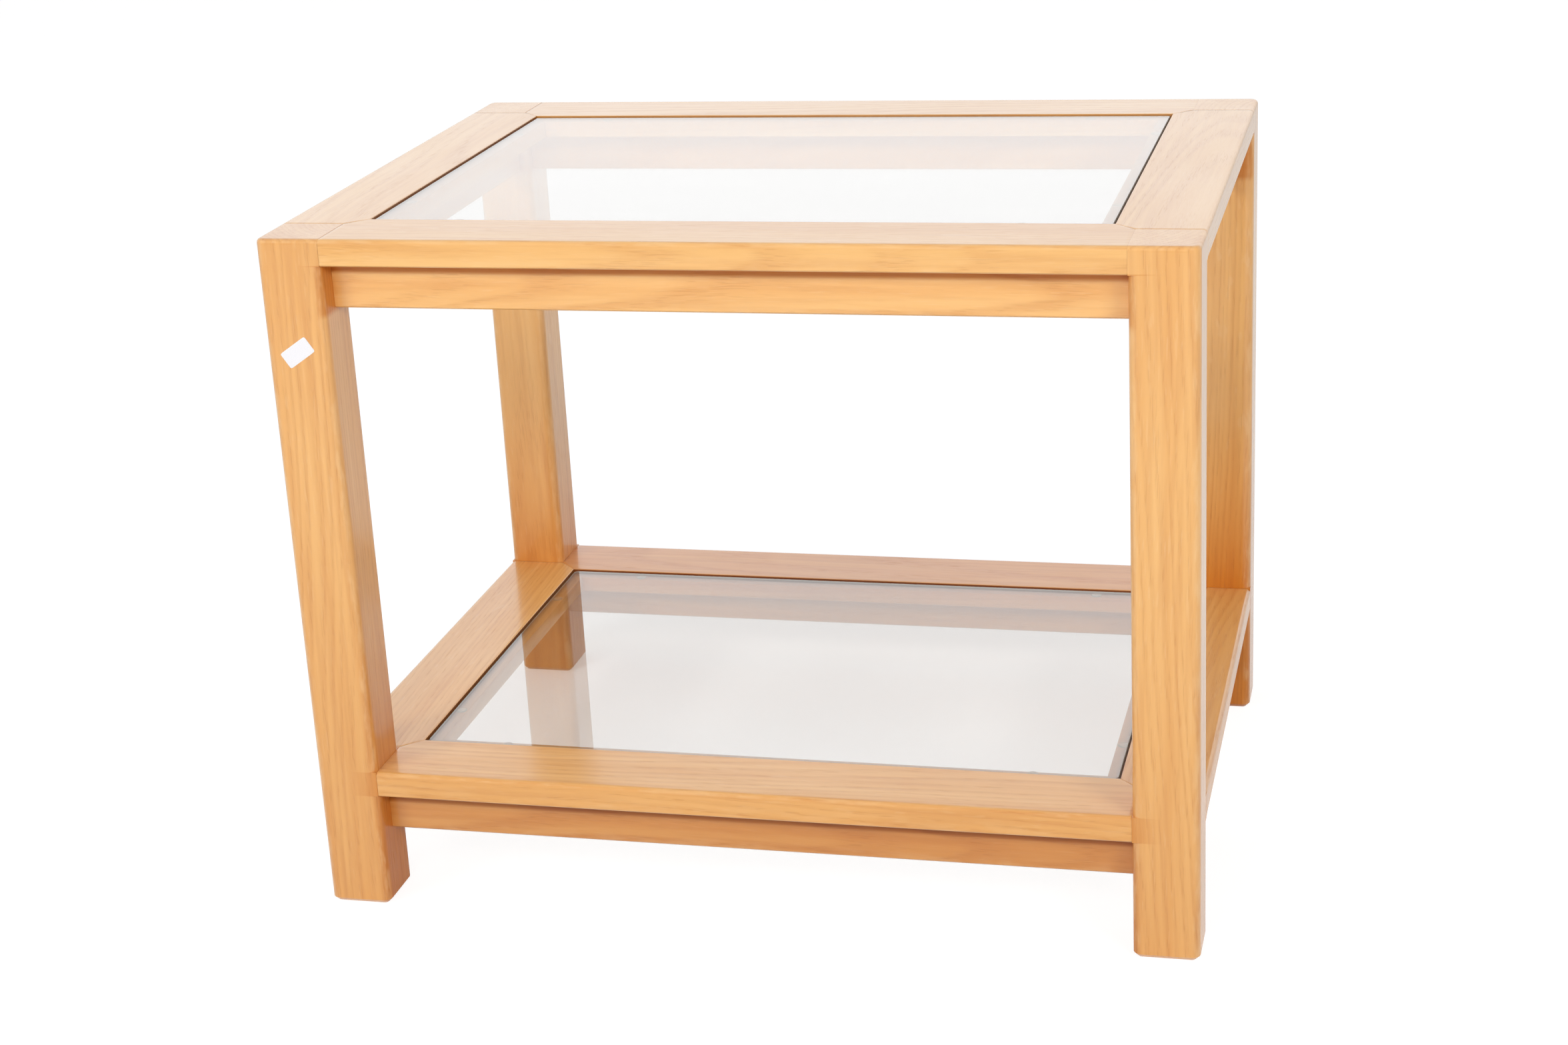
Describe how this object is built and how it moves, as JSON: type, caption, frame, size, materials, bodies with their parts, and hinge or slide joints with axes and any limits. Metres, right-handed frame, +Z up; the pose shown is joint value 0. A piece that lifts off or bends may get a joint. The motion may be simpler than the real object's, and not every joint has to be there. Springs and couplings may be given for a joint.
{
  "type": "display table",
  "caption": "Open oak display table: square legs carry a top and a low shelf, each a mitred frame with a flush glass pane and aprons set back below.",
  "frame": {"origin": "on the floor, under the centre of the table", "axes": "+Z up; the front is towards -Y; the long sides run along X"},
  "size_m": [0.61, 0.46, 0.48],
  "materials": {
    "oak": "clear satin lacquer over honey-coloured oak",
    "clear_glass": "clear float glass with ground edges",
    "clear_pad": "soft clear plastic",
    "spline_wood": "plain beech, glued in"
  },
  "bodies": {
    "table_frame": {"leg_front_left": "oak", "leg_front_right": "oak", "leg_back_left": "oak", "leg_back_right": "oak", "top_board_front": "oak", "top_board_back": "oak", "top_board_left": "oak", "top_board_right": "oak", "top_apron_front": "oak", "top_apron_back": "oak", "top_apron_left": "oak", "top_apron_right": "oak", "shelf_board_front": "oak", "shelf_board_back": "oak", "shelf_board_left": "oak", "shelf_board_right": "oak", "shelf_apron_front": "oak", "shelf_apron_back": "oak", "shelf_apron_left": "oak", "shelf_apron_right": "oak", "top_glass_pads": "clear_pad", "shelf_glass_pads": "clear_pad", "top_board_splines": "spline_wood", "shelf_board_splines": "spline_wood"},
    "top_pane": {"top_glass": "clear_glass"},
    "shelf_pane": {"shelf_glass": "clear_glass"}
  },
  "joints": [
    {"name": "top_glass_lift", "type": "slide", "parent": "table_frame", "child": "top_pane", "axis": [0, 0, 1], "range_m": [0, 0.05]},
    {"name": "shelf_glass_lift", "type": "slide", "parent": "table_frame", "child": "shelf_pane", "axis": [0, 0, 1], "range_m": [0, 0.05]}
  ]
}
